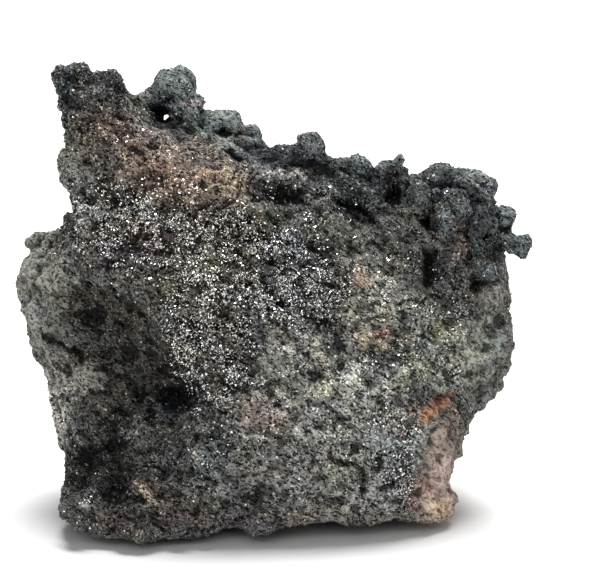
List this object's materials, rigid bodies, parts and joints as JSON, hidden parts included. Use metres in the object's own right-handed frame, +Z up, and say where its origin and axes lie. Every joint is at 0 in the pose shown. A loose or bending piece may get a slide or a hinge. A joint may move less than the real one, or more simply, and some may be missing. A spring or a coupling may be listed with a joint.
{
  "type": "volcanic rock",
  "caption": "Fist-sized lump of vesicular lava with a broken, hollowed front face and a crust of rounded lava beads along its crest; it stands on its rough underside.",
  "frame": {"origin": "centre of the bounding box at the surface that the rock stands on", "axes": "+X to the right along the broken face, +Y from the broken face to the crusted back, +Z up"},
  "size_m": [0.109, 0.0704, 0.0929],
  "materials": {
    "basalt": "rough and matt, with fine glittering grains on the broken face",
    "hematite": "small bright metallic crystal faces"
  },
  "bodies": {
    "root": {"rock": "basalt"}
  },
  "joints": []
}
